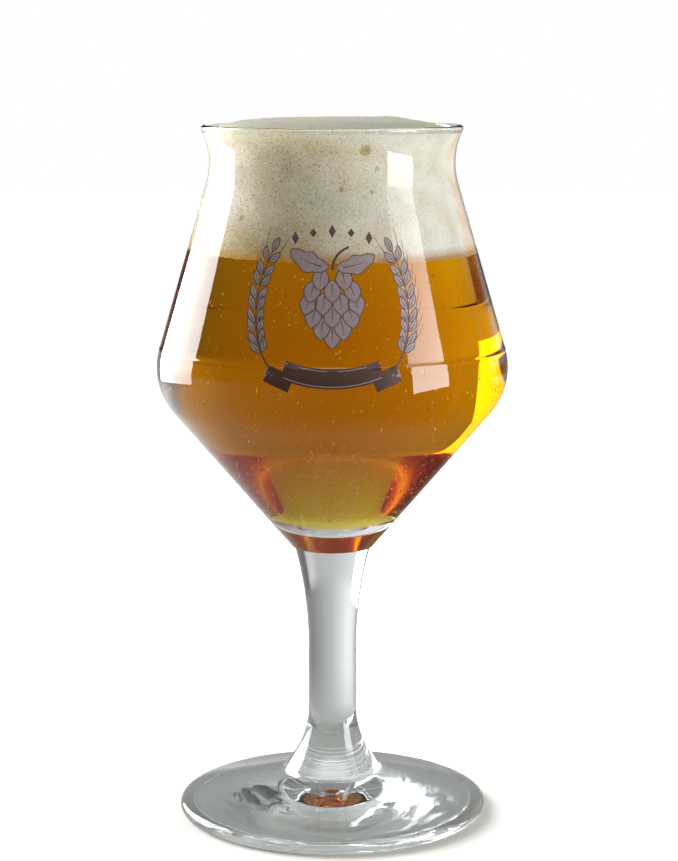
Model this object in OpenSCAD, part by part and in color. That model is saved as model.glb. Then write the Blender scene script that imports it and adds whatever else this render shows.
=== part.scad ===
// Stemmed tulip beer glass, poured full: foot, stem and bowl fused face to face, with the beer and its head of foam.
// Every piece is turned about the vertical axis, and the glass stands on z = 0.

/* [Bowl] */
// Height of the bowl, from its joint with the stem to the top of the lip
bowl_h = 114; // [98:1:138]
// Outside diameter of the neck, the narrowest ring under the lip
neck_d = 65.5; // [57:0.5:76]
// Distance of the neck below the top of the lip
neck_drop = 9.8; // [6:0.2:14]
// Radius of the curve that turns the lip outward
flare_r = 20; // [15:0.5:40]
// Outside diameter of the shoulder, the widest ring
shoulder_d = 94.5; // [84:0.5:112]
// Height of the shoulder above the joint
shoulder_h = 49.5; // [42:0.5:58]
// Radius of the curve round the shoulder
shoulder_r = 18.5; // [10:0.5:26]
// Thickness of the blown wall
wall = 1.6; // [1.2:0.1:3]
// Thickness of the solid floor on the axis
floor_t = 8; // [4:0.5:14]
// Radius of the rounded floor inside
floor_r = 25; // [16:1:30]
// Radius of the lower outside edge, round the joint
base_round = 1.2; // [0.4:0.1:3]

/* [Stem] */
// Height of the stem, from the foot to the bowl
stem_h = 45; // [30:1:70]
// Diameter of the straight shank
stem_d = 13; // [9:0.2:16]
// Height of the straight shank, up to where it starts to flare
shank_h = 17; // [0:1:28]
// Diameter of the joint between the stem and the bowl
joint_d = 20.5; // [18:0.5:26]

/* [Foot] */
// Diameter of the foot
foot_d = 84; // [74:1:100]
// Height of the foot, up to its joint with the stem
foot_h = 28.7; // [27:0.1:38]
// Radius of the sweep from the stem into the boss
sweep_r = 24; // [14:0.5:28]
// Slope of the side of the boss, in degrees
boss_slope = 57; // [48:1:70]
// Radius of the toe, from the boss into the top of the foot
toe_r = 3; // [1:0.5:7]
// Slope of the top of the foot, in degrees
top_slope = 15.5; // [10:0.5:18]
// Thickness of the round edge
edge_t = 3.5; // [2.4:0.1:5]
// Width of the flat ring that the foot stands on
rest_w = 3; // [2:0.5:9]
// Rise of the hollow underside on the axis
hollow_h = 3.8; // [1:0.2:6]

/* [Drink] */
// Distance of the beer's surface below the top of the lip
beer_drop = 33; // [16:1:56]
// Rise of the foam's crown above the top of the lip
foam_rise = 1.8; // [0.6:0.2:8]

/* [Hidden] */
// Straight runs in one curve of an outline
bend_steps = 14;
// Sides of a turned solid as it is drawn on screen
$fn = 120;

edge_r = edge_t / 2;
lip_r = wall / 2;

// Heights of the upper joint, the lip and the beer's surface
joint_z = foot_h + stem_h;
lip_z = joint_z + bowl_h;
beer_z = lip_z - beer_drop;

// Centres of the curves in the outlines, as [radius, height]
edge_c = [foot_d / 2 - edge_r, edge_r];
base_c = [joint_d / 2, joint_z + base_round];
shoulder_c = [shoulder_d / 2 - shoulder_r, joint_z + shoulder_h];
neck_c = [neck_d / 2 + flare_r, lip_z - neck_drop];
floor_c = [0, joint_z + floor_t + floor_r];
sweep_c = [stem_d / 2 + sweep_r, foot_h];

// Angles, from the horizontal, at which straight runs meet those curves
cone_a = s_tangent(neck_c, flare_r, shoulder_c, shoulder_r);
under_a = outer_tangent(shoulder_c, shoulder_r, base_c, base_round);
inside_a = outer_tangent(shoulder_c, shoulder_r - wall, floor_c, floor_r);
lip_a = asin((neck_drop - lip_r) / (flare_r + lip_r));
boss_a = 90 - boss_slope;
top_a = 90 - top_slope;

// Centre of the toe, a curve that the boss and the top of the foot both run into
toe_c = meet(boss_a, dir(boss_a) * sweep_c - sweep_r + toe_r, top_a, dir(top_a) * edge_c + edge_r + toe_r);

function dir(a) = [cos(a), sin(a)];

// Points along a curve about c, from one angle to another
function bend(c, r, from, to) = [for (i = [0:bend_steps]) c + r * dir(from + (to - from) * i / bend_steps)];

function turned_back(points) = [for (i = [len(points) - 1:-1:0]) points[i]];

// Radius of the arc that spans half a chord and rises by a given height
function arc_r(half, rise) = (half * half + rise * rise) / (2 * rise);

// Angle of the line that runs down from inside a hollow curve to outside a round one
function s_tangent(hollow_c, hollow_r, round_c, round_r) =
    let (d = hollow_c - round_c) atan2(d.y, d.x) - acos((hollow_r + round_r) / norm(d));

// Angle below the horizontal of the line that touches two round curves, the upper one first, on their outsides
function outer_tangent(upper_c, upper_r, lower_c, lower_r) =
    let (d = upper_c - lower_c) acos((lower_r - upper_r) / norm(d)) - atan2(d.y, d.x);

// Point at given distances from the axis, measured along two directions
function meet(a, a_d, b, b_d) =
    let (m = dir(a), n = dir(b)) [a_d * n.y - b_d * m.y, b_d * m.x - a_d * n.x] / (m.x * n.y - m.y * n.x);

// Inside of the bowl, from the middle of the floor up to the lip
inner_wall = concat(
    bend(floor_c, floor_r, -90, -inside_a),
    bend(shoulder_c, shoulder_r - wall, -inside_a, cone_a),
    bend(neck_c, flare_r + wall, 180 + cone_a, 180 - lip_a)
);

// Outside of the bowl, from the joint up to the lip
outer_wall = concat(
    bend(base_c, base_round, -90, -under_a),
    bend(shoulder_c, shoulder_r, -under_a, cone_a),
    bend(neck_c, flare_r, 180 + cone_a, 180 - lip_a)
);

lip = bend(neck_c + (flare_r + lip_r) * dir(180 - lip_a), lip_r, -lip_a, 180 - lip_a);

// Edge of the beer's surface on the glass
beer_rim = [lookup(beer_z, [for (p = inner_wall) [p.y, p.x]]), beer_z];

// Low dome from a ring up to a point on the axis
function dome(ring, top_z) =
    let (r = arc_r(ring.x, top_z - ring.y), c = [0, top_z - r])
    bend(c, r, atan2(ring.y - c.y, ring.x), 90);

module turned(points) {
    rotate_extrude() polygon(points);
}

module foot() {
    rest_ring = [edge_c.x - rest_w, 0];
    color("lightsteelblue", 0.5)
        turned(concat(
            [[0, foot_h]],
            bend(sweep_c, sweep_r, 180, 180 + boss_a),
            bend(toe_c, toe_r, 180 + boss_a, 180 + top_a),
            bend(edge_c, edge_r, top_a, -90),
            dome(rest_ring, hollow_h)
        ));
}

module stem() {
    flare = [(joint_d - stem_d) / 2, stem_h - shank_h];
    flare_arc_r = arc_r(flare.y, flare.x);
    color("lightsteelblue", 0.5)
        turned(concat(
            [[0, foot_h], [stem_d / 2, foot_h]],
            bend([stem_d / 2 + flare_arc_r, foot_h + shank_h], flare_arc_r, 180, 180 - asin(flare.y / flare_arc_r)),
            [[0, joint_z]]
        ));
}

module bowl() {
    color("lightsteelblue", 0.35)
        turned(concat([[0, joint_z]], outer_wall, lip, turned_back(inner_wall)));
}

module beer() {
    color("darkgoldenrod", 0.8)
        turned(concat([for (p = inner_wall) if (p.y < beer_z) p], [beer_rim, [0, beer_z]]));
}

module foam_head() {
    crest = inner_wall[len(inner_wall) - 1];
    color("cornsilk")
        turned(concat(
            [[0, beer_z], beer_rim],
            [for (p = inner_wall) if (p.y > beer_z) p],
            dome(crest, lip_z + foam_rise)
        ));
}

foot();
stem();
bowl();
beer();
foam_head();
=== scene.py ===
# Stemmed tulip beer glass, poured full: its looks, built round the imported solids.
import bisect
import math
import random

import bmesh
import bpy
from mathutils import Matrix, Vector, noise


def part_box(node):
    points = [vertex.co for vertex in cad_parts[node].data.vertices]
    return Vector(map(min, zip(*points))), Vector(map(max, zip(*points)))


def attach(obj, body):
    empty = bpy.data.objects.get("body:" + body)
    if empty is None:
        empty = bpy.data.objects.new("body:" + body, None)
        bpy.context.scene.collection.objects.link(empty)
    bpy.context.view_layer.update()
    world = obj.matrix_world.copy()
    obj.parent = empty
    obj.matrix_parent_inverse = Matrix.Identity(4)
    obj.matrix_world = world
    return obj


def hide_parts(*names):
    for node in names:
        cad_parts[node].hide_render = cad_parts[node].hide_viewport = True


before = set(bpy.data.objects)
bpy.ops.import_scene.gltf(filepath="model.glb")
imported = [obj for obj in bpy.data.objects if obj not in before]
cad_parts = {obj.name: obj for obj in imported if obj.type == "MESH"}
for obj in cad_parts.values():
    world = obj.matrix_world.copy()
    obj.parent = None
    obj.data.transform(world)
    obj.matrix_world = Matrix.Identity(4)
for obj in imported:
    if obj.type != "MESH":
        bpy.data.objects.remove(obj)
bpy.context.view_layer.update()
scene = bpy.context.scene
scene.view_settings.view_transform = "Standard"
mm = 0.001
hair = 0.01 * mm  # anything closer than this is at the same place
onAxis = 0.001 * mm
print("frame loaded:", ", ".join(sorted(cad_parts)))

# The photograph's view: a short tele lens, just above the lip and a little to the right of the stem.
photoView = {"distance": 0.6199, "height": 0.20606, "pitch": 9.21, "yaw": 0.167, "lens": 96.92}

cameraData = bpy.data.cameras.new("photoCamera")
cameraData.lens = photoView["lens"]
cameraData.sensor_width = 36
cameraObject = bpy.data.objects.new("photoCamera", cameraData)
cameraObject.location = (0, -photoView["distance"], photoView["height"])
cameraObject.rotation_euler = (math.radians(90 - photoView["pitch"]), 0, -math.radians(photoView["yaw"]))
scene.collection.objects.link(cameraObject)
scene.camera = cameraObject
scene.cycles.max_bounces = 32  # light turns many times inside thick glass before it leaves
scene.cycles.glossy_bounces = 16
scene.cycles.transmission_bounces = 24
print("camera set")


def linear(hexText):
    parts = [int(hexText[i:i + 2], 16) / 255 for i in (1, 3, 5)]
    return [c / 12.92 if c <= 0.04045 else ((c + 0.055) / 1.055) ** 2.4 for c in parts] + [1.0]


def addNode(tree, kind, inputs=None, **settings):
    node = tree.nodes.new("ShaderNode" + kind)
    for name, value in settings.items():
        setattr(node, name, value)
    for name, value in (inputs or {}).items():
        if isinstance(value, bpy.types.NodeSocket):
            tree.links.new(value, node.inputs[name])
        else:
            node.inputs[name].default_value = value
    return node


def newMaterial(name):
    material = bpy.data.materials.new(name)
    material.use_nodes = True
    material.node_tree.nodes.clear()
    return material, material.node_tree


# Soda-lime glass, blown and fire polished: clear, hard highlights, very slow waves in the reflections.
def blownGlass(name, tint, ior, wave, waveDepth):
    material, tree = newMaterial(name)
    place = addNode(tree, "TexCoord")
    waves = addNode(tree, "TexNoise", {"Vector": place.outputs["Object"], "Scale": 1 / wave, "Detail": 1.0})
    bump = addNode(tree, "Bump", {"Height": waves.outputs["Fac"], "Distance": waveDepth, "Strength": 1.0})
    glass = addNode(tree, "BsdfPrincipled", {
        "Base Color": linear(tint), "Roughness": 0.0, "IOR": ior, "Transmission Weight": 1.0,
        "Normal": bump.outputs["Normal"]})
    addNode(tree, "OutputMaterial", {"Surface": glass.outputs["BSDF"]})
    return material


# Where two pieces of glass were fused hot there is no surface left to see.
def fusedJoint():
    material, tree = newMaterial("fused glass joint")
    clear = addNode(tree, "BsdfTransparent", {"Color": (1, 1, 1, 1)})
    addNode(tree, "OutputMaterial", {"Surface": clear.outputs["BSDF"]})
    return material


glassLook = {"ior": 1.52, "beerIor": 1.345, "bowlTint": "#f8fbfa", "stemTint": "#f0f5f3",
             "wave": 16 * mm, "waveDepth": 0.012 * mm}
bowlGlass = blownGlass("blown soda-lime glass", glassLook["bowlTint"], glassLook["ior"],
                       glassLook["wave"], glassLook["waveDepth"])
wetGlass = blownGlass("blown soda-lime glass wetted by beer", "#ffffff",
                      glassLook["ior"] / glassLook["beerIor"], glassLook["wave"], glassLook["waveDepth"])
drawnGlass = blownGlass("drawn and pressed soda-lime glass", glassLook["stemTint"], glassLook["ior"],
                        glassLook["wave"], 2 * glassLook["waveDepth"])
joint = fusedJoint()


# Rings of a turned solid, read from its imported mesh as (radius, height) from end to end.
def outlineOf(node):
    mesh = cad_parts[node].data
    found, rings = {}, []
    for vertex in mesh.vertices:
        spot = (math.hypot(vertex.co.x, vertex.co.y), vertex.co.z)
        key = (round(spot[0], 6), round(spot[1], 6))
        if key not in found:
            twin = next((k for k in set(found.values()) if math.dist(k, spot) < 2 * hair), None)
            found[key] = twin or spot
        rings.append(found[key])
    near = {}
    for edge in mesh.edges:
        a, b = (rings[i] for i in edge.vertices)
        if a != b:
            near.setdefault(a, set()).add(b)
            near.setdefault(b, set()).add(a)
    here = min((ring for ring in near if len(near[ring]) == 1), key=lambda ring: ring[1])
    path = [here]
    while near[here] - set(path):
        here = min(near[here] - set(path), key=lambda ring: math.dist(ring, path[-1]))
        path.append(here)
    return [Vector(ring) for ring in path]


def turnAt(a, b, c):
    return (b - a).angle(c - b)


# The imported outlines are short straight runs: this bends them back into curves, with rings every step or less.
def smoothOutline(points, step, corner=math.radians(30)):
    inner = [b for a, b, c in zip(points, points[1:], points[2:]) if turnAt(a, b, c) > math.radians(0.1)]
    points = [points[0], *inner, points[-1]]
    runs = [b - a for a, b in zip(points, points[1:])]
    leave, arrive = [r.normalized() for r in runs], [r.normalized() for r in runs]
    for i, (a, b) in enumerate(zip(runs, runs[1:])):
        if a.angle(b) > corner:
            continue
        if a.length > 3 * b.length:
            shared = a.normalized()
        elif b.length > 3 * a.length:
            shared = b.normalized()
        else:
            shared = (a.normalized() * b.length + b.normalized() * a.length).normalized()
        arrive[i] = leave[i + 1] = shared
    if points[0].x < onAxis:
        leave[0] = Vector((1, 0))
    if points[-1].x < onAxis:
        arrive[-1] = Vector((-1, 0))
    smooth = []
    for start, run, out, into in zip(points, runs, leave, arrive):
        parts = max(math.ceil(run.length / step), math.ceil(math.degrees(out.angle(into)) / 2), 1)
        for k in range(parts):
            t = k / parts
            smooth.append(start + run * (3 * t * t - 2 * t ** 3)
                          + out * run.length * (t - 2 * t * t + t ** 3) + into * run.length * (t ** 3 - t * t))
    return [*smooth, points[-1]]


def normalsOf(outline):
    normals = []
    for i in range(len(outline)):
        along = outline[min(i + 1, len(outline) - 1)] - outline[max(i - 1, 0)]
        normals.append(Vector((along.y, -along.x)).normalized())
    return normals


def pieceFrom(mesh, name, materials):
    data = bpy.data.meshes.new(name)
    mesh.to_mesh(data)
    mesh.free()
    for material in materials:
        data.materials.append(material)
    piece = bpy.data.objects.new(name, data)
    scene.collection.objects.link(piece)
    return piece


# Turns an outline about the axis. slotOf gives a run's material, and a cap is (height of its middle, material).
def turned(name, outline, columns, materials, slotOf, lowCap=None, highCap=None):
    mesh = bmesh.new()
    rings = []
    for point in outline:
        if point.x < onAxis:
            rings.append([mesh.verts.new((0, 0, point.y))] * columns)
            continue
        angles = [2 * math.pi * j / columns for j in range(columns)]
        rings.append([mesh.verts.new((point.x * math.cos(a), point.x * math.sin(a), point.y)) for a in angles])

    def band(low, high, material):
        for j in range(columns):
            k = (j + 1) % columns
            corners = dict.fromkeys((low[j], low[k], high[k], high[j]))
            face = mesh.faces.new(list(corners))
            face.material_index = material
            face.smooth = True

    if lowCap:
        band([mesh.verts.new((0, 0, lowCap[0]))] * columns, rings[0], lowCap[1])
    for i, (low, high) in enumerate(zip(rings, rings[1:])):
        band(low, high, slotOf(i))
    if highCap:
        band(rings[-1], [mesh.verts.new((0, 0, highCap[0]))] * columns, highCap[1])
    piece = pieceFrom(mesh, name, materials)
    piece.data.set_sharp_from_angle(angle=math.radians(40))
    return piece


def settle(piece, slotName, *nodes):
    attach(piece, "root")
    if nodes:
        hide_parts(*nodes)
    return piece


# Glass: three turned pieces that meet in fused joints.
turning = {"columns": 192, "step": 1.5 * mm, "jointGap": 0.04 * mm}
mouldRing = {"height": 0.09 * mm, "width": 0.5 * mm, "reach": 3.0 * mm, "step": 0.12 * mm}
pressMarks = {"ring": 3.4 * mm, "ringHeight": 0.02 * mm, "swirl": 7, "hollow": 9 * mm, "hollowDepth": 0.07 * mm,
              "flatFrom": 0.8, "flatOver": 0.14, "step": 0.5 * mm}


# The mould left a faint ring outside, where the upper cone runs into the shoulder.
def withMouldRing(outline):
    widest = max(range(len(outline)), key=lambda i: outline[i].x)
    top = max(range(len(outline)), key=lambda i: outline[i].y)
    straight = [i for i in range(widest, top - 1) if turnAt(*outline[i:i + 3]) < math.radians(0.05)]
    middle = outline[straight[0]]
    ringed = []
    for a, b in zip(outline[:top], outline[1:top + 1]):
        near = min((a - middle).length, (b - middle).length) < mouldRing["reach"]
        parts = math.ceil((b - a).length / mouldRing["step"]) if near else 1
        ringed += [a.lerp(b, k / parts) for k in range(parts)]
    out = normalsOf(ringed)
    raised = [p + n * mouldRing["height"] * math.exp(-((p - middle).length / mouldRing["width"]) ** 2)
              for p, n in zip(ringed, out)]
    return [outline[0], *raised[1:], *outline[top:]]


# The foot was pressed: faint rings and hollows from the plunger, on the top only.
def pressTop(piece):
    for vertex, out in [(v, v.normal.copy()) for v in piece.data.vertices]:
        x, y = vertex.co.xy
        share = min(max((out.z - pressMarks["flatFrom"]) / pressMarks["flatOver"], 0), 1)
        spot = Vector((x, y, 0)) / pressMarks["hollow"]
        turns = math.hypot(x, y) / pressMarks["ring"]
        rings = math.sin(2 * math.pi * turns + pressMarks["swirl"] * noise.noise(spot))
        rings *= 0.5 + noise.noise(spot + Vector((0, 0, 4)))
        hollows = noise.noise(spot + Vector((0, 0, 9)))
        vertex.co.z += share * (pressMarks["ringHeight"] * rings + pressMarks["hollowDepth"] * hollows)


bowlLine = withMouldRing(smoothOutline(outlineOf("bowl"), turning["step"]))
lipAt = max(range(len(bowlLine)), key=lambda i: bowlLine[i].y)
foamLine = outlineOf("foam_head")
wallFrom = 30 * mm  # the upper wall is further from the axis than this
crestZ = max(p.y for p in foamLine if p.x > wallFrom) - 1.2 * mm  # the head clings to the wall up to here
stemLine = smoothOutline(outlineOf("stem"), turning["step"])
footLine = [Vector((p.x, max(p.y, 0))) for p in smoothOutline(outlineOf("foot"), pressMarks["step"])]
gap = turning["jointGap"]

glassBowl = turned("glass_bowl", bowlLine, turning["columns"], [bowlGlass, wetGlass, joint],
                   lambda i: 1 if i >= lipAt and bowlLine[i].y < crestZ else 0,
                   lowCap=(bowlLine[0].y + gap, 2))
glassStem = turned("glass_stem", stemLine, turning["columns"], [drawnGlass, joint], lambda i: 0,
                   lowCap=(stemLine[0].y + gap, 1), highCap=(stemLine[-1].y - gap, 1))
glassFoot = turned("glass_foot", footLine, turning["columns"], [drawnGlass, joint], lambda i: 0,
                   highCap=(footLine[-1].y - gap, 1))
pressTop(glassFoot)
settle(glassBowl, "glass", "bowl")
settle(glassStem, "glass", "stem")
settle(glassFoot, "glass", "foot")
glassBowl.visible_shadow = False  # lamps reach the foam and the print through the thin wall
glassBowl.visible_diffuse = False
print("glass turned:", len(bowlLine), "rings in the bowl")


# Amber ale, filtered and bright: no surface of its own against the glass, colour that deepens with the light's way.
beerLook = {"colour": "#faee18", "density": 134.0, "inset": 0.05 * mm}


def brightBeer():
    material, tree = newMaterial("bright amber beer")
    body = addNode(tree, "BsdfPrincipled", {
        "Base Color": (1, 1, 1, 1), "Roughness": 0.0, "IOR": 1.0, "Transmission Weight": 1.0})
    depth = addNode(tree, "VolumeAbsorption", {"Color": linear(beerLook["colour"]), "Density": beerLook["density"]})
    addNode(tree, "OutputMaterial", {"Surface": body.outputs["BSDF"], "Volume": depth.outputs["Volume"]})
    return material


beerWall = smoothOutline(outlineOf("beer"), turning["step"])
beerZ = beerWall[-1].y
beerLine = [p - n * beerLook["inset"] for p, n in zip(beerWall, normalsOf(beerWall))]
beerLine[0].x = 0
beerLine[-1].y = beerZ
pouredBeer = turned("poured_beer", beerLine, turning["columns"], [brightBeer()], lambda i: 0, highCap=(beerZ, 0))
settle(pouredBeer, "beer", "beer")
print("beer poured to", round(beerZ / mm, 1), "mm")


# Fresh head of fine foam: a white froth of wet cells that light soaks into. A creamier dark tone gives its grain and,
# as painted shade, darkens it low on the left and in the large cells by the wall; the top has a painted grey-green
# shade.
foamLook = {"colour": "#fcfbf8", "speckAndShadeTone": "#b8a974", "cell": 0.5 * mm, "dot": 0.9 * mm, "cloud": 5 * mm, "soak": 14 * mm,
            "wet": "#c98a35", "wetRise": 2.2 * mm, "lowLeftShadeRise": 12 * mm, "paintedTopShade": "#9da096", "paintedTopShadeRise": 1.5 * mm}
foamShape = {"columns": 384, "step": 0.6 * mm, "crownRings": 44, "floorRings": 8, "inset": 0.12 * mm, "dip": 0.1 * mm,
             "lean": 0.52 * mm, "fray": 0.3 * mm, "frayWidth": 1.6 * mm, "flatness": 5, "ripple": 0.22 * mm,
             "dent": 0.25}
# The crown is flat over most of the mouth, with one low heap to the right and a fall behind it.
crownSwells = [{"rise": 0.5 * mm, "x": 15 * mm, "y": 4 * mm, "spread": 6 * mm},
               {"rise": -0.9 * mm, "x": 29 * mm, "y": 6 * mm, "spread": 7 * mm}]
# Larger cells against the wall, dented in and with painted shade inside: degrees to the right of the front, then drop
# from the lip and radius in mm.
foamCells = [(15, 5.4, 1.7), (21, 10.2, 0.8), (-42, 23.0, 0.9), (18, 16.2, 0.7), (4, 15.5, 0.8), (-8, 9.0, 0.4),
             (-24, 13.5, 0.45)]


def wetFoam(shadedCellSpots):
    material, tree = newMaterial("fine beer foam")
    place = addNode(tree, "TexCoord")
    cells = addNode(tree, "TexVoronoi", {"Vector": place.outputs["Object"], "Scale": 1 / foamLook["cell"]})
    clouds = addNode(tree, "TexNoise", {"Vector": place.outputs["Object"], "Scale": 1 / foamLook["cloud"],
                                        "Detail": 3.0})
    speck = addNode(tree, "MapRange", {"Value": cells.outputs["Distance"], "From Min": 0.1, "From Max": 0.55,
                                       "To Min": 0.0, "To Max": 0.42})
    cloud = addNode(tree, "MapRange", {"Value": clouds.outputs["Fac"], "From Min": 0.35, "From Max": 0.7,
                                       "To Min": 0.0, "To Max": 0.2})
    coarse = addNode(tree, "TexVoronoi", {"Vector": place.outputs["Object"], "Scale": 1 / foamLook["dot"]})
    dots = addNode(tree, "MapRange", {"Value": coarse.outputs["Distance"], "From Min": 0.1, "From Max": 0.3,
                                      "To Min": 0.7, "To Max": 0.0})
    # Painted shade: inside each larger cell by the wall the tone is pulled toward the dark one.
    hollows = 0.0
    for spot, size in shadedCellSpots:
        reach = addNode(tree, "VectorMath", {0: place.outputs["Object"], 1: spot}, operation="DISTANCE")
        hollow = addNode(tree, "MapRange", {"Value": reach.outputs["Value"], "From Min": 0.7 * size, "From Max": size,
                                            "To Min": 0.4, "To Max": 0.0}, interpolation_type="SMOOTHSTEP")
        hollows = addNode(tree, "Math", {0: hollow.outputs["Result"], 1: hollows}, operation="MAXIMUM").outputs["Value"]
    grain = addNode(tree, "Math", {0: speck.outputs["Result"], 1: dots.outputs["Result"]}, operation="ADD")
    up = addNode(tree, "SeparateXYZ", {"Vector": place.outputs["Object"]})
    litRightGrainFade = addNode(tree, "MapRange", {"Value": up.outputs["X"], "From Min": -8 * mm, "From Max": 20 * mm,
                                       "To Min": 1.0, "To Max": 0.5})  # painted light: the dark grain fades out toward the lit right side
    fadedGrain = addNode(tree, "Math", {0: grain.outputs["Value"], 1: litRightGrainFade.outputs["Result"]}, operation="MULTIPLY")
    both = addNode(tree, "Math", {0: fadedGrain.outputs["Value"], 1: cloud.outputs["Result"]}, operation="ADD")
    # Painted shade: low on the left the head is mixed toward the dark tone, fading out upward and to the right.
    lowShadeShare = addNode(tree, "MapRange", {"Value": up.outputs["Z"], "From Min": beerZ,
                                       "From Max": beerZ + foamLook["lowLeftShadeRise"], "To Min": 0.5, "To Max": 0.0})
    leftShadeShare = addNode(tree, "MapRange", {"Value": up.outputs["X"], "From Min": -16 * mm, "From Max": 2 * mm,
                                          "To Min": 1.0, "To Max": 0.0})
    paintedLowLeftShade = addNode(tree, "Math", {0: lowShadeShare.outputs["Result"], 1: leftShadeShare.outputs["Result"], 2: both.outputs["Value"]},
                   operation="MULTIPLY_ADD")  # and it is painted darker low on the left, as shade
    total = addNode(tree, "Math", {0: paintedLowLeftShade.outputs["Value"], 1: hollows}, operation="ADD", use_clamp=True)
    tone = addNode(tree, "MixRGB", {"Fac": total.outputs["Value"], "Color1": linear(foamLook["colour"]),
                                    "Color2": linear(foamLook["speckAndShadeTone"])})
    # Painted shade: above the crest the top of the head is mixed toward a darker grey-green.
    high = addNode(tree, "MapRange", {"Value": up.outputs["Z"], "From Min": crestZ,
                                      "From Max": crestZ + foamLook["paintedTopShadeRise"], "To Min": 0.0, "To Max": 0.7})
    topShaded = addNode(tree, "MixRGB", {"Fac": high.outputs["Result"], "Color1": tone.outputs["Color"],
                                     "Color2": linear(foamLook["paintedTopShade"])})
    low = addNode(tree, "MapRange", {"Value": up.outputs["Z"], "From Min": beerZ,
                                     "From Max": beerZ + foamLook["wetRise"], "To Min": 0.6, "To Max": 0.0})
    soaked = addNode(tree, "MixRGB", {"Fac": low.outputs["Result"], "Color1": topShaded.outputs["Color"],
                                      "Color2": linear(foamLook["wet"])})
    bump = addNode(tree, "Bump", {"Height": cells.outputs["Distance"], "Distance": 0.12 * mm, "Strength": 0.6})
    froth = addNode(tree, "BsdfPrincipled", {
        "Base Color": soaked.outputs["Color"], "Roughness": 0.6, "IOR": 1.33, "Subsurface Weight": 1.0,
        "Subsurface Radius": (1.0, 0.75, 0.35), "Subsurface Scale": foamLook["soak"],
        "Specular IOR Level": 0.2, "Normal": bump.outputs["Normal"]})
    addNode(tree, "OutputMaterial", {"Surface": froth.outputs["BSDF"]})
    return material


def onWall(outline, degrees, height):
    i = min(range(len(outline)), key=lambda k: abs(outline[k].y - height))
    r, a = outline[i].x, math.radians(degrees)
    return Vector((r * math.sin(a), -r * math.cos(a), height))


def crownHeight(x, y, share):
    swells = sum(s["rise"] * math.exp(-((x - s["x"]) ** 2 + (y - s["y"]) ** 2) / (2 * s["spread"] ** 2))
                 for s in crownSwells)
    waves = foamShape["ripple"] * noise.noise(Vector((x, y, 0)) / (7 * mm))
    fine = 0.4 * foamShape["ripple"] * noise.noise(Vector((x, y, 3)) / (2 * mm))
    return (swells + waves + fine) * (1 - share ** 8)  # nothing at the wall


def foamPiece():
    wall = [p for p in foamLine if p.y < crestZ and p.x > wallFrom]
    above = next(p for p in foamLine if p.y >= crestZ and p.x > wallFrom)
    wall.append(wall[-1].lerp(above, (crestZ - wall[-1].y) / (above.y - wall[-1].y)))
    wall = smoothOutline(wall, foamShape["step"])
    side = [Vector((p.x - foamShape["inset"], p.y)) for p in wall]
    side[0].y -= foamShape["dip"]
    crest, crownZ = side[-1], foamLine[-1].y
    crown = []
    for k in range(1, foamShape["crownRings"] + 1):
        share = 1 - k / foamShape["crownRings"]
        rise = (crownZ - crest.y) * (1 - share ** foamShape["flatness"])
        crown.append(Vector((crest.x * share, crest.y + rise)))
    edge, low = side[0]
    floorRings = [Vector((edge * k / foamShape["floorRings"], low)) for k in range(foamShape["floorRings"])]
    outline = [*floorRings, *side, *crown]
    pits = [(onWall(side, a, bowlLine[lipAt].y - drop * mm), r * mm) for a, drop, r in foamCells]
    piece = turned("foam_head_froth", outline, foamShape["columns"], [wetFoam(pits)], lambda i: 0)
    for vertex in piece.data.vertices:
        x, y, z = vertex.co
        r = math.hypot(x, y)
        if z > crest.y - hair and r < crest.x - hair:
            vertex.co.z += crownHeight(x, y, r / crest.x)
            continue
        if z < low + hair and r > 0:
            vertex.co.z += foamShape["fray"] * noise.noise(Vector((x, y, 5)) / foamShape["frayWidth"])
            vertex.co.z -= foamShape["lean"] * (1 + x / edge) * r / edge  # it sank deeper on the right
        if r < edge * 0.8:
            continue
        for spot, size in pits:
            away = (vertex.co - spot).length
            if away < size:
                dent = 1 - (away / size) ** 2
                vertex.co.x -= x / r * dent * size * foamShape["dent"]
                vertex.co.y -= y / r * dent * size * foamShape["dent"]
    return settle(piece, "foam", "foam_head")


foamPiece()
print("foam head raised")


# Rising gas: clear cells in the beer, so bright rims and dark hearts. Those on the wall are clusters too
# fine to see into, so they scatter and stay pale.
bubbleLook = {"loose": 420, "strings": 7, "small": 0.1 * mm, "large": 0.3 * mm,
              "clear": 1.4 * mm, "seed": 5}  # clear: room under the foam
speckLook = {"count": 640, "small": 0.1 * mm, "large": 0.26 * mm, "colour": "#ffce82", "shade": "#ea9c3e",
             "spread": 88}  # degrees to either side of the front


def gasCells():
    material, tree = newMaterial("carbon dioxide in beer")
    cell = addNode(tree, "BsdfPrincipled", {
        "Base Color": (1, 1, 1, 1), "Roughness": 0.0, "IOR": glassLook["beerIor"], "Transmission Weight": 1.0})
    addNode(tree, "OutputMaterial", {"Surface": cell.outputs["BSDF"]})
    return material


def fineClusters():
    material, tree = newMaterial("fine gas clusters on wet glass")
    place = addNode(tree, "TexCoord")
    grain = addNode(tree, "TexNoise", {"Vector": place.outputs["Object"], "Scale": 1 / (0.2 * mm)})
    tone = addNode(tree, "MixRGB", {"Fac": grain.outputs["Fac"], "Color1": linear(speckLook["colour"]),
                                    "Color2": linear(speckLook["shade"])})
    froth = addNode(tree, "BsdfPrincipled", {"Base Color": tone.outputs["Color"], "Roughness": 0.5, "IOR": 1.33})
    addNode(tree, "OutputMaterial", {"Surface": froth.outputs["BSDF"]})
    return material


def beerRadius(z):
    i = next(k for k, p in enumerate(beerLine) if p.y >= z)
    a, b = beerLine[max(i - 1, 0)], beerLine[i]
    return a.x + (b.x - a.x) * (z - a.y) / max(b.y - a.y, 1e-9)


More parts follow.
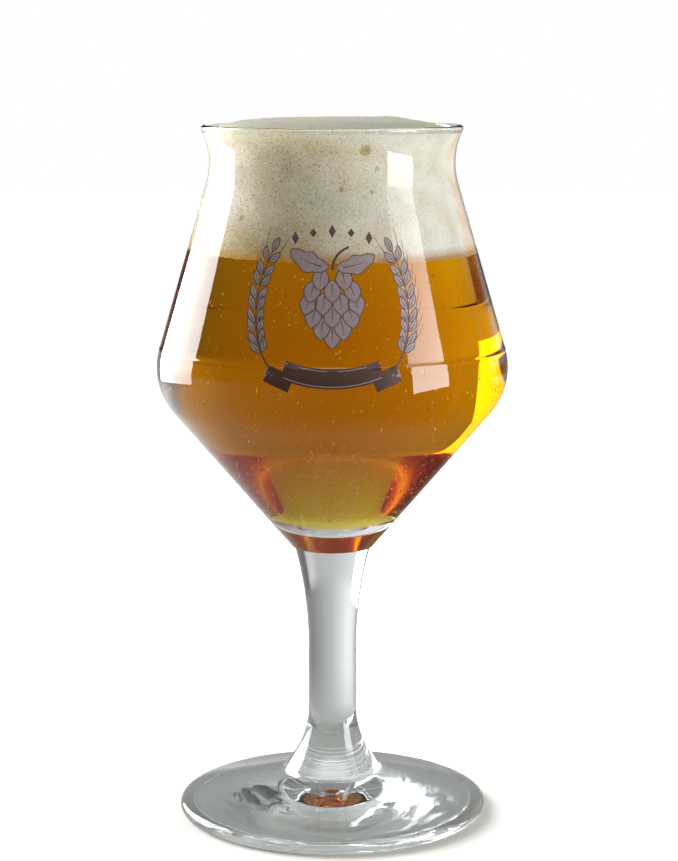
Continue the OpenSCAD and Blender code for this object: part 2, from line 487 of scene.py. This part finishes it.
def bubblePiece():
    rng = random.Random(bubbleLook["seed"])
    mesh = bmesh.new()
    ball = bmesh.new()
    bmesh.ops.create_icosphere(ball, subdivisions=2, radius=1)
    shape = [v.co.copy() for v in ball.verts]
    sides = [[v.index for v in face.verts] for face in ball.faces]
    ball.free()

    def bubble(x, y, z, size, stretch, look=0):
        room = beerRadius(z) - math.hypot(x, y)
        if room < 1.2 * size or z + 2 * size > beerZ - bubbleLook["clear"]:
            return
        skin = [mesh.verts.new((x + size * c.x, y + size * c.y, z + size * stretch * c.z)) for c in shape]
        for corners in sides:
            face = mesh.faces.new([skin[k] for k in (corners if look else reversed(corners))])
            face.material_index = look  # a clear cell is a hole in the beer, so it is turned inside out
            face.smooth = True

    floorZ = beerLine[0].y
    for _ in range(bubbleLook["loose"]):
        z = floorZ + (beerZ - floorZ) * rng.uniform(0.06, 0.985)
        size = bubbleLook["small"] + (bubbleLook["large"] - bubbleLook["small"]) * rng.random() ** 2.5
        a, edge = rng.uniform(0, 2 * math.pi), beerRadius(z)
        r = edge - rng.uniform(0.6, 2.5) * mm if rng.random() < 0.5 else edge * math.sqrt(rng.random()) * 0.94
        bubble(r * math.cos(a), r * math.sin(a), z, size, rng.uniform(1.0, 1.5))
    for _ in range(speckLook["count"]):
        z = floorZ + (beerZ - floorZ) * (0.05 + 0.93 * rng.random() ** 1.35)
        size = speckLook["small"] + (speckLook["large"] - speckLook["small"]) * rng.random() ** 2
        a = math.radians(rng.uniform(-1, 1) * speckLook["spread"])
        r = beerRadius(z) - rng.uniform(1.3, 2.2) * size - 0.05 * mm
        bubble(r * math.sin(a), -r * math.cos(a), z, size, rng.uniform(1.1, 2.0), 1)
    for _ in range(bubbleLook["strings"]):
        a, r = rng.uniform(0, 2 * math.pi), 0.92 * beerRadius(floorZ + 34 * mm) * math.sqrt(rng.random())
        z = floorZ + rng.uniform(12, 56) * mm
        size = bubbleLook["small"] * rng.uniform(1.0, 1.6)
        for _ in range(rng.randint(3, 8)):
            bubble(r * math.cos(a), r * math.sin(a), z, size, 1.3)
            z += rng.uniform(0.5, 1.3) * mm
            size *= 1.04
    piece = pieceFrom(mesh, "rising_bubbles", [gasCells(), fineClusters()])
    piece.visible_shadow = False
    return settle(piece, "beer")


bubblePiece()
print("bubbles set rising")


# Two-colour enamel print, fired on: a hop cone over a plain banner, between two ears of barley, under five diamonds.
# Thin ceramic ink, so dull, opaque and a little mottled, and it stands just proud of the glass.
printLook = {"dark": "#43291f", "pale": "#96858a", "film": 0.02 * mm, "coat": 0.004 * mm, "sunk": 0.01 * mm,
             "drop": 46 * mm}
darkInk, paleInk = 0, 1

wallLine = bowlLine[:lipAt + 1]
wallOut = normalsOf(wallLine)
wallReach = [0.0]
for a, b in zip(wallLine, wallLine[1:]):
    wallReach.append(wallReach[-1] + (b - a).length)
printMiddle = next(s for s, p in zip(wallReach, wallLine)
                   if p.y > wallLine[-1].y - printLook["drop"] and p.x > wallFrom)


def firedInk(name, colour):
    material, tree = newMaterial(name)
    place = addNode(tree, "TexCoord")
    mottle = addNode(tree, "TexNoise", {"Vector": place.outputs["Object"], "Scale": 1 / (0.6 * mm), "Detail": 3.0})
    shade = addNode(tree, "MapRange", {"Value": mottle.outputs["Fac"], "From Min": 0.3, "From Max": 0.7,
                                       "To Min": 0.75, "To Max": 1.15})
    tone = addNode(tree, "VectorMath", {0: linear(colour)[:3], 1: shade.outputs["Result"]}, operation="MULTIPLY")
    ink = addNode(tree, "BsdfPrincipled", {"Base Color": tone.outputs["Vector"], "Roughness": 0.45, "IOR": 1.5})
    addNode(tree, "OutputMaterial", {"Surface": ink.outputs["BSDF"]})
    return material


# Place on the bowl: mm to the right of the middle, mm up the wall, and lift off the glass.
def onBowl(right, up, lift):
    s = printMiddle + up * mm
    i = min(bisect.bisect_right(wallReach, s), len(wallLine) - 1) - 1
    share = (s - wallReach[i]) / (wallReach[i + 1] - wallReach[i])
    spot = wallLine[i].lerp(wallLine[i + 1], share) + wallOut[i].lerp(wallOut[i + 1], share) * lift
    a = right * mm / spot.x
    return Vector((spot.x * math.sin(a), -spot.x * math.cos(a), spot.y))


# One stroke of ink along a line of (right, up) points, as a thin closed strip.
# halfWidth runs with the share of its length.
def stroke(mesh, points, halfWidth, ink, coat):
    points = [Vector(p) for p in points]
    lift = printLook["film"] + coat * printLook["coat"]
    stations = []
    for i, p in enumerate(points):
        along = (points[min(i + 1, len(points) - 1)] - points[max(i - 1, 0)]).normalized()
        across = Vector((-along.y, along.x)) * max(halfWidth(i / (len(points) - 1)), 0.02)
        spots = [p + across * c for c in (-1, -0.5, 0, 0.5, 1)]
        stations.append([mesh.verts.new(onBowl(*q, lift)) for q in spots]
                        + [mesh.verts.new(onBowl(*q, -printLook["sunk"])) for q in reversed(spots)])
    faces = [(stations[0][k], stations[0][k + 1], stations[0][8 - k], stations[0][9 - k]) for k in range(4)]
    faces += [(stations[-1][9 - k], stations[-1][8 - k], stations[-1][k + 1], stations[-1][k]) for k in range(4)]
    for a, b in zip(stations, stations[1:]):
        faces += [(a[k], b[k], b[(k + 1) % 10], a[(k + 1) % 10]) for k in range(10)]
    for corners in faces:
        face = mesh.faces.new(corners)
        face.material_index = ink


def bezier(p0, p1, p2, p3, count):
    p0, p1, p2, p3 = (Vector(p) for p in (p0, p1, p2, p3))
    shares = [k / (count - 1) for k in range(count)]
    return [p0 * (1 - s) ** 3 + p1 * 3 * s * (1 - s) ** 2 + p2 * 3 * s * s * (1 - s) + p3 * s ** 3 for s in shares]


# A leaf-shaped patch with a dark rim and a dark rib, from its root to its tip.
def leaf(mesh, root, tip, width, coat, bow=0.0, lobes=0.0):
    root, tip = Vector(root), Vector(tip)
    run = tip - root
    side = Vector((-run.y, run.x)) * bow
    last = 12
    spine = bezier(root, root + run / 3 + side, root + run * 2 / 3 + side, tip, last + 1)

    def half(s):
        return width * math.sin(math.pi * min(s * 0.98 + 0.01, 1)) ** 0.8 * (1 + lobes * math.sin(16 * s))

    stroke(mesh, spine, half, paleInk, coat)
    for edge in (-1, 1):
        rim = []
        for i, p in enumerate(spine):
            along = (spine[min(i + 1, last)] - spine[max(i - 1, 0)]).normalized()
            rim.append(p + Vector((-along.y, along.x)) * edge * half(i / last))
        stroke(mesh, rim, lambda s: 0.13, darkInk, coat + 1)
    stroke(mesh, spine[2:10], lambda s: 0.12 * (1 - s) + 0.04, darkInk, coat + 1)


def barleyEar(mesh, side):
    stalk = bezier((side * 15.5, -15.5), (side * 21.5, -9), (side * 21.5, 4), (side * 15.5, 15), 40)
    stroke(mesh, stalk, lambda s: 0.26 - 0.12 * s, darkInk, 0)
    for k in range(9):
        i = 8 + round(k * 31 / 9)
        along = (stalk[i + 1] - stalk[i - 1]).normalized()
        across = Vector((-along.y, along.x))
        for edge in (-1, 1):
            root = stalk[i] + across * edge * 0.3
            tip = root + along * 3.6 + across * edge * 1.7
            leaf(mesh, root, tip, 0.85, 1, bow=0.08 * edge)
            stroke(mesh, [tip, tip + along * 2.6 + across * edge * 0.6, tip + along * 5.0 + across * edge * 0.9],
                   lambda s: 0.09 - 0.05 * s, darkInk, 0)
    leaf(mesh, stalk[-1], stalk[-1] + (stalk[-1] - stalk[-4]).normalized() * 4.2, 0.85, 1)


def hopCone(mesh):
    # rows of scales from the tip up: height, count and reach to either side
    rows = [(-6.5, 1, 0.0), (-4.4, 2, 2.6), (-1.4, 3, 4.9), (1.9, 4, 6.3), (5.1, 3, 5.2), (8.2, 2, 2.9)]
    for coat, (up, count, reach) in enumerate(rows):
        for k in range(count):
            right = 0 if count == 1 else reach * (2 * k / (count - 1) - 1)
            bow = 0.06 * (right > 0) - 0.06 * (right < 0)
            leaf(mesh, (right * 0.75, up + 2.9), (right * 1.1, up - 2.9), 2.1, 2 * coat, bow=bow)
    stroke(mesh, bezier((0, 10.6), (0.2, 13.5), (1.6, 15.5), (4.2, 16.4), 12), lambda s: 0.4 - 0.15 * s, darkInk, 14)
    leaf(mesh, (-0.8, 11.2), (-10.6, 15.8), 2.5, 12, bow=0.12, lobes=0.14)
    leaf(mesh, (0.9, 11.2), (10.8, 14.4), 2.3, 12, bow=-0.12, lobes=0.14)


def plainBanner(mesh):
    band = [(12.5 * s, -17.2 + 2.2 * s * s) for s in [k / 12 - 1 for k in range(25)]]
    stroke(mesh, band, lambda s: 2.5, darkInk, 2)
    for shift in (-1.95, 1.95):
        stroke(mesh, [(x, y + shift) for x, y in band], lambda s: 0.14, paleInk, 3)
    for side in (-1, 1):
        tail = [(side * (10.5 + 6.5 * s), -18.6 + 2.6 * s) for s in [k / 6 for k in range(7)]]
        stroke(mesh, tail, lambda s: 2.2, darkInk, 0)
        stroke(mesh, [(side * 17.4, -16.1), (side * 15.2, -16.6)], lambda s: 1.1 * (1 - s), paleInk, 1)


def arcOfDiamonds(mesh):
    for k in range(5):
        a = math.radians(90 + 11 * (k - 2))
        right, up = 25 * math.cos(a), -4.5 + 25 * math.sin(a)
        tall = 1.1 if k % 2 else 1.7
        line = [(right, up - tall), (right, up), (right, up + tall)]
        stroke(mesh, line, lambda s: 0.9 * (1 - abs(2 * s - 1)), darkInk, 0)


def printPiece():
    mesh = bmesh.new()
    for side in (-1, 1):
        barleyEar(mesh, side)
    hopCone(mesh)
    plainBanner(mesh)
    arcOfDiamonds(mesh)
    inks = [firedInk("dark brown fired enamel", printLook["dark"]),
            firedInk("grey mauve fired enamel", printLook["pale"])]
    piece = pieceFrom(mesh, "enamel_print", inks)
    piece.visible_shadow = False
    return settle(piece, "glass")


printPiece()
print("print fired on")


# Studio: pale floor, white surround, one soft box in front to the right and a tall one behind to the left.
surround = {"fill": "#61604d", "white": "#ffffff"}
floorLook = {"colour": "#d6d6d3", "grain": "#dededb", "size": 6.0, "shadedGlowUnderFoot": (0.05, 0.28),
             "glowNear": 0.5, "glowFar": 0.95, "reach": 0.9}
# A soft box lights the set as a lamp; the glass mirrors its diffuser, which is a sheet with tones by height that runs
# on over the floor by a share of the way to the glass, further at one end: that run is painted light on the floor
# before the box. What the glass bends instead of mirroring is a plainer sheet of the tone through.
keyBox = {"azimuth": 65, "distance": 0.9, "low": 0.01, "wide": 0.435, "high": 0.85, "level": 6.2,
          "tones": [(0.0, 9.8), (0.4, 9.4), (0.48, 6.2), (0.56, 2.5), (0.62, 2.0), (0.77, 2.0)],
          "paintedFloorRun": (0.52, 0.16), "through": 1.6}
stripBox = {"azimuth": -125, "distance": 0.8, "low": 0.0, "wide": 0.72, "high": 0.9, "level": 12.5,
            "tones": [(0.0, 6.8), (0.15, 9.0), (0.4, 10.2), (0.9, 10.2)], "paintedFloorRun": (0.25, 0.25), "through": 4.7}
# Glowing sheets laid and hung round the set like grey cloth, which only the glass shows: one that it mirrors, one that
# it bends. Their tones are painted light and shade, and run by degrees to the right of straight back.
cloth = {"inner": 0.0414, "spread": 1.6, "height": 1.7, "lift": 0.3 * mm, "sides": 240, "floorRows": 14, "wallRows": 20,
         "roofRows": 4, "nearReach": 0.1, "farFrom": 0.55, "farOver": 0.15, "loftFrom": 0.25, "loftOver": 0.45,
         "roofFrom": 1.3, "roofOver": 0.4}
# A painted pool of light on the mirrored cloth, where the strip box would spill it, and to its right a patch of painted
# amber light on the far floor and low on the wall.
paintedLightPool = {"degrees": -42, "distance": 0.46, "reach": 0.2, "level": 1.3}
amberPatch = {"from": 24, "to": 58, "near": 0.75, "low": 0.22, "high": 0.42, "colour": "#ffa24f"}
mirroredCloth = {"near": [(-180, 0.33), (180, 0.33)], "aloft": 0.5,
                 "roof": [(-180, 5.0), (-100, 5.0), (-80, 0.6), (80, 0.6), (100, 5.0), (180, 5.0)],
                 "wall": [(-180, 0.03), (-76, 0.04), (-40, 0.1), (-10, 0.08), (20, 0.12), (30, 0.8), (50, 0.8),
                          (62, 0.04), (180, 0.03)],
                 "floor": [(-180, 0.04), (-125, 0.15), (-100, 0.45), (-70, 0.5), (-20, 0.6), (0, 0.4), (20, 0.2),
                           (35, 0.06), (60, 0.03), (180, 0.04)],
                 "far": [(-180, 0.04), (-125, 0.15), (-100, 0.45), (-70, 0.5), (-20, 0.6), (0, 0.4), (20, 0.25),
                         (30, 0.8), (50, 0.8), (60, 0.03), (180, 0.04)]}
bentCloth = {"near": [(-180, 0.65), (-60, 0.65), (-25, 0.5), (0, 0.48), (25, 0.5), (60, 0.65), (180, 0.65)],
             "aloft": 0.75, "roof": [(-180, 0.25), (180, 0.25)],
             "wall": [(-180, 0.3), (-110, 0.3), (-80, 0.5), (-40, 0.95), (-26, 0.9), (0, 0.6), (18, 0.55), (28, 0.72),
                      (35, 0.68), (42, 0.12), (65, 0.1), (95, 0.1), (120, 0.2), (180, 0.3)],
             "floor": [(-180, 0.3), (-110, 0.3), (-80, 0.5), (-40, 1.1), (-26, 1.1), (0, 0.6), (21, 0.38), (40, 0.25),
                       (60, 0.2), (100, 0.2), (140, 0.25), (180, 0.3)]}
bentCloth["far"] = bentCloth["floor"]


def seenByGlass(tree):
    path = addNode(tree, "LightPath")
    first = addNode(tree, "Math", {0: path.outputs["Is Camera Ray"], 1: path.outputs["Is Glossy Ray"]},
                    operation="ADD", use_clamp=True)
    both = addNode(tree, "Math", {0: first.outputs["Value"], 1: path.outputs["Is Transmission Ray"]},
                   operation="ADD", use_clamp=True)
    return both.outputs["Value"]


def whiteSurround():
    world = bpy.data.worlds.new("white surround")
    scene.world = world
    world.use_nodes = True
    tree = world.node_tree
    tree.nodes.clear()
    tone = addNode(tree, "MixRGB", {"Fac": seenByGlass(tree), "Color1": linear(surround["fill"]),
                                    "Color2": linear(surround["white"])})
    light = addNode(tree, "Background", {"Color": tone.outputs["Color"], "Strength": 1.0})
    addNode(tree, "OutputWorld", {"Surface": light.outputs["Background"]})


def paleFloor():
    # matt laminate sheet, pale and even, that stays white where the lamps fall off; under the foot its glow is cut down
    # as painted shade, darker at the front than at the back
    material, tree = newMaterial("matt white laminate")
    place = addNode(tree, "TexCoord")
    grain = addNode(tree, "TexNoise", {"Vector": place.outputs["Object"], "Scale": 1 / (40 * mm), "Detail": 4.0})
    tone = addNode(tree, "MixRGB", {"Fac": grain.outputs["Fac"], "Color1": linear(floorLook["colour"]),
                                    "Color2": linear(floorLook["grain"])})
    sheet = addNode(tree, "BsdfDiffuse", {"Color": tone.outputs["Color"]})
    away = addNode(tree, "VectorMath", {0: place.outputs["Object"]}, operation="LENGTH")
    level = addNode(tree, "MapRange", {"Value": away.outputs["Value"], "From Max": floorLook["reach"],
                                       "To Min": floorLook["glowNear"], "To Max": floorLook["glowFar"]})
    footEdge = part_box("foot")[1].x
    # Painted shade: under the foot the glass sees the floor's glow cut down, darker to the front.
    across = addNode(tree, "SeparateXYZ", {"Vector": place.outputs["Object"]})
    shaded = addNode(tree, "MapRange", {"Value": across.outputs["Y"], "From Min": -footEdge, "From Max": footEdge,
                                        "To Min": floorLook["shadedGlowUnderFoot"][0], "To Max": floorLook["shadedGlowUnderFoot"][1]})
    under = addNode(tree, "MapRange", {"Value": away.outputs["Value"], "From Min": footEdge,
                                       "From Max": footEdge + 8 * mm, "To Min": shaded.outputs["Result"],
                                       "To Max": level.outputs["Result"]})
    glow = addNode(tree, "Math", {0: seenByGlass(tree), 1: under.outputs["Result"]}, operation="MULTIPLY")
    light = addNode(tree, "Emission", {"Color": (1, 1, 1, 1), "Strength": glow.outputs["Value"]})
    total = addNode(tree, "AddShader", {0: sheet.outputs["BSDF"], 1: light.outputs["Emission"]})
    addNode(tree, "OutputMaterial", {"Surface": total.outputs["Shader"]})
    half = floorLook["size"] / 2
    data = bpy.data.meshes.new("studio_floor")
    data.from_pydata([(-half, -half, 0), (half, -half, 0), (half, half, 0), (-half, half, 0)], [], [(0, 1, 2, 3)])
    data.materials.append(material)
    piece = bpy.data.objects.new("studio_floor", data)
    scene.collection.objects.link(piece)


def softBox(name, box):
    light = bpy.data.lights.new(name, "AREA")
    light.shape = "RECTANGLE"
    light.size, light.size_y = box["wide"], box["high"]
    light.energy = box["level"] * math.pi * box["wide"] * box["high"]
    lamp = bpy.data.objects.new(name, light)
    a = math.radians(box["azimuth"])
    lamp.location = (box["distance"] * math.sin(a), -box["distance"] * math.cos(a), box["low"] + box["high"] / 2)
    lamp.rotation_euler = (math.radians(90), 0, a)
    scene.collection.objects.link(lamp)
    lamp.visible_camera = lamp.visible_glossy = lamp.visible_transmission = False


# White nylon and grey cloth as glowing sheets: in a reflection they give only their tone, which is painted light, and
# on the cloth painted shade too.
def glowing(name):
    material, tree = newMaterial(name)
    tone = addNode(tree, "Attribute", attribute_name="tone")
    glow = addNode(tree, "Emission", {"Color": tone.outputs["Color"], "Strength": 1.0})
    addNode(tree, "OutputMaterial", {"Surface": glow.outputs["Emission"]})
    return material


# A sheet of the stage from rows of (place, tone), seen only in the glass.
def glowingSheet(name, material, rows, closed):
    mesh = bmesh.new()
    layer = mesh.verts.layers.float_color.new("tone")
    lines = []
    for row in rows:
        line = []
        for place, shade in row:
            vertex = mesh.verts.new(place)
            vertex[layer] = (*shade, 1)
            line.append(vertex)
        lines.append(line)
    for low, high in zip(lines, lines[1:]):
        for j in range(len(low) if closed else len(low) - 1):
            k = (j + 1) % len(low)
            mesh.faces.new((low[j], high[j], high[k], low[k]))
    if closed:
        mesh.faces.new(lines[-1])
    piece = pieceFrom(mesh, name, [material])
    piece.visible_camera = piece.visible_diffuse = piece.visible_shadow = False
    piece.visible_volume_scatter = False
    return piece


# Tone at a place in a list of (place, tone), straight between its neighbours.
def toneAt(tones, place):
    return next(la + (lb - la) * (place - a) / (b - a)
                for (a, la), (b, lb) in zip(tones, tones[1:]) if a <= place <= b)


nylonSheet = {"upRows": 30, "floorRows": 6, "columns": 12, "lift": 1 * mm, "before": 2 * mm}


def diffuser(name, box):
    a = math.radians(box["azimuth"])
    out, along = Vector((math.sin(a), -math.cos(a), 0)), Vector((math.cos(a), math.sin(a), 0))
    top = box["tones"][-1][0]
    heights = [top * (1 - k / nylonSheet["upRows"]) for k in range(nylonSheet["upRows"] + 1)]
    runs = [k / nylonSheet["floorRows"] for k in range(1, nylonSheet["floorRows"] + 1)]
    rows = []
    for step in [*heights, *runs]:
        onFloor = len(rows) >= len(heights)
        row = []
        for j in range(nylonSheet["columns"] + 1):
            across = j / nylonSheet["columns"]
            run = box["paintedFloorRun"][0] + (box["paintedFloorRun"][1] - box["paintedFloorRun"][0]) * across
            up = nylonSheet["lift"] if onFloor else max(step, nylonSheet["lift"])
            place = out * (box["distance"] - nylonSheet["before"]) + along * box["wide"] * (across - 0.5)
            place = place * (1 - run * step if onFloor else 1) + Vector((0, 0, up))
            level = toneAt(box["tones"], min(max(up - nylonSheet["lift"], 0), top))
            row.append((place, (level, level, level)))
        rows.append(row)
    return glowingSheet(name, nylon, rows, False)


def seenThrough(box, **changes):
    tones = [(height, box["through"]) for height in (0.0, box["tones"][-1][0])]
    return {**box, "tones": tones, "paintedFloorRun": (0.0, 0.0), **changes}


def ramp(value, start, over):
    return min(max((value - start) / over, 0), 1)


def clothTone(look, degrees, radius, height):
    if height <= cloth["lift"]:
        near = 1 - ramp(radius, cloth["inner"], cloth["nearReach"])
        far = ramp(radius, cloth["farFrom"], cloth["farOver"])
        level = toneAt(look["floor"], degrees) * (1 - far) + toneAt(look["far"], degrees) * far
        # Painted light: a pool of brighter tone on the mirrored floor, below the strip box.
        if look is mirroredCloth:
            a = math.radians(degrees - paintedLightPool["degrees"])
            spill = math.dist((radius, 0), (paintedLightPool["distance"] * math.cos(a), paintedLightPool["distance"] * math.sin(a)))
            level += paintedLightPool["level"] * math.exp(-(spill / paintedLightPool["reach"]) ** 2)
        return level + (toneAt(look["near"], degrees) - level) * near
    loft = ramp(height, cloth["loftFrom"], cloth["loftOver"])
    up = ramp(height, cloth["roofFrom"], cloth["roofOver"])
    level = toneAt(look["wall"], degrees) * (1 + (look["aloft"] - 1) * loft)
    return level + (toneAt(look["roof"], degrees) - level) * up


# Painted light: an amber tint on the mirrored cloth, in the patch to the right of the strip box.
def clothTint(look, degrees, radius, height):
    onFloor = height <= cloth["lift"]
    reached = radius > amberPatch["near"] if onFloor else amberPatch["low"] < height < amberPatch["high"]
    onAmberPatch = look is mirroredCloth and reached and amberPatch["from"] < degrees < amberPatch["to"]
    return linear(amberPatch["colour"])[:3] if onAmberPatch else (1, 1, 1)


def paintedGlowCloth(name, look):
    span = cloth["spread"] / cloth["inner"]
    floorRows, wallRows, roofRows = cloth["floorRows"], cloth["wallRows"], cloth["roofRows"]
    outline = [(cloth["inner"] * span ** (k / floorRows), cloth["lift"]) for k in range(floorRows + 1)]
    outline += [(cloth["spread"], cloth["height"] * k / wallRows) for k in range(1, wallRows + 1)]
    outline += [(cloth["spread"] * (1 - k / roofRows), cloth["height"]) for k in range(1, roofRows)]
    rows = []
    for radius, height in outline:
        row = []
        for j in range(cloth["sides"]):
            degrees = -180 + 360 * j / cloth["sides"]
            a = math.radians(degrees)
            level, tint = clothTone(look, degrees, radius, height), clothTint(look, degrees, radius, height)
            row.append((Vector((radius * math.sin(a), radius * math.cos(a), height)), [level * c for c in tint]))
        rows.append(row)
    return glowingSheet(name, clothGlow, rows, True)


nylon, clothGlow = glowing("white nylon diffuser"), glowing("grey cloth glowing with painted light and shade")
whiteSurround()
paleFloor()
softBox("key_box", keyBox)
softBox("strip_box", stripBox)
diffuser("key_diffuser", keyBox).visible_transmission = False
diffuser("strip_diffuser", stripBox).visible_transmission = False
diffuser("key_seen_through", seenThrough(keyBox)).visible_glossy = False
diffuser("strip_seen_through", seenThrough(stripBox, azimuth=-132, wide=0.5)).visible_glossy = False
paintedGlowCloth("mirrored_cloth", mirroredCloth).visible_transmission = False
paintedGlowCloth("bent_cloth", bentCloth).visible_glossy = False
print("studio lit")
